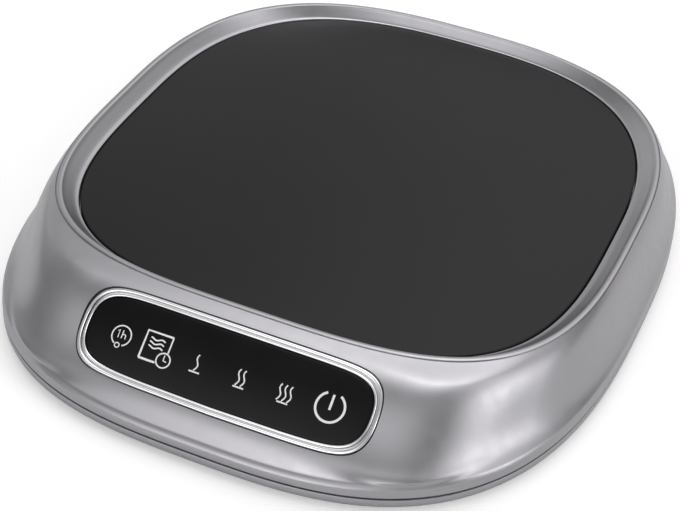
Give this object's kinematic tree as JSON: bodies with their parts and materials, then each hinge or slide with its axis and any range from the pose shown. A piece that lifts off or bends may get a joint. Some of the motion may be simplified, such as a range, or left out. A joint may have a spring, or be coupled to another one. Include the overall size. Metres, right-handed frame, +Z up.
{
  "type": "electric mug warmer",
  "caption": "Low desk warmer with a glass hot plate in a raised rim, a sloping front with a touch panel, and a cord gland at the back.",
  "frame": {"origin": "on the table under the middle of the base", "axes": "+Z up, the touch panel faces -Y, +X to the right seen from the front"},
  "size_m": [0.1522, 0.1858, 0.0229],
  "materials": {
    "silver_paint": "satin metallic paint",
    "black_glass": "black tempered, satin",
    "silicone": "matt",
    "plate_aluminium": "rolled",
    "mica": "mica sheet",
    "felt": "ceramic felt",
    "sheet_steel": "zinc plated",
    "screw_steel": "zinc plated",
    "ceramic_white": "glazed",
    "chrome": "polished",
    "lens_black": "high gloss",
    "white_plastic": "matt",
    "foam": "conductive foam",
    "board_green": "solder resist",
    "lamp_yellow": "clear resin",
    "block_green": "moulded",
    "capacitor_yellow": "moulded",
    "capacitor_blue": "sleeve",
    "ferrite": "ferrite",
    "chip_black": "moulded",
    "fuse_glass": "clear",
    "socket_ivory": "moulded",
    "lead_brown": "sleeve",
    "lead_white": "glass sleeve",
    "lead_red": "sleeve",
    "gland_black": "moulded",
    "foot_rubber": "matt"
  },
  "bodies": {
    "root": {"upper_housing": "silver_paint", "base_housing": "silver_paint", "glass_plate": "black_glass", "glass_gasket": "silicone", "heat_spreader": "plate_aluminium", "heater_foil": "mica", "insulation_pad": "felt", "heater_pan": "sheet_steel", "pan_screws": "screw_steel", "temperature_sensor": "ceramic_white", "thermal_fuse": "ceramic_white", "fuse_clip": "sheet_steel", "panel_bezel": "chrome", "panel_lens": "lens_black", "light_guide": "white_plastic", "key_pads": "foam", "touch_board": "board_green", "indicator_lights": "lamp_yellow", "touch_board_screws": "screw_steel", "main_board": "board_green", "terminal_block": "block_green", "film_capacitor": "capacitor_yellow", "smoothing_capacitors": "capacitor_blue", "choke": "ferrite", "power_switch": "chip_black", "heat_sink": "plate_aluminium", "input_fuse": "fuse_glass", "fuse_holder": "sheet_steel", "controller_chip": "chip_black", "cable_socket": "socket_ivory", "board_screws": "screw_steel", "ribbon_cable": "socket_ivory", "heater_leads": "lead_white", "sensor_leads": "lead_red", "mains_leads": "lead_brown", "cord_gland": "gland_black", "cord_clamp": "white_plastic", "clamp_screws": "screw_steel", "base_screws": "screw_steel", "rubber_feet": "foot_rubber"}
  },
  "joints": []
}
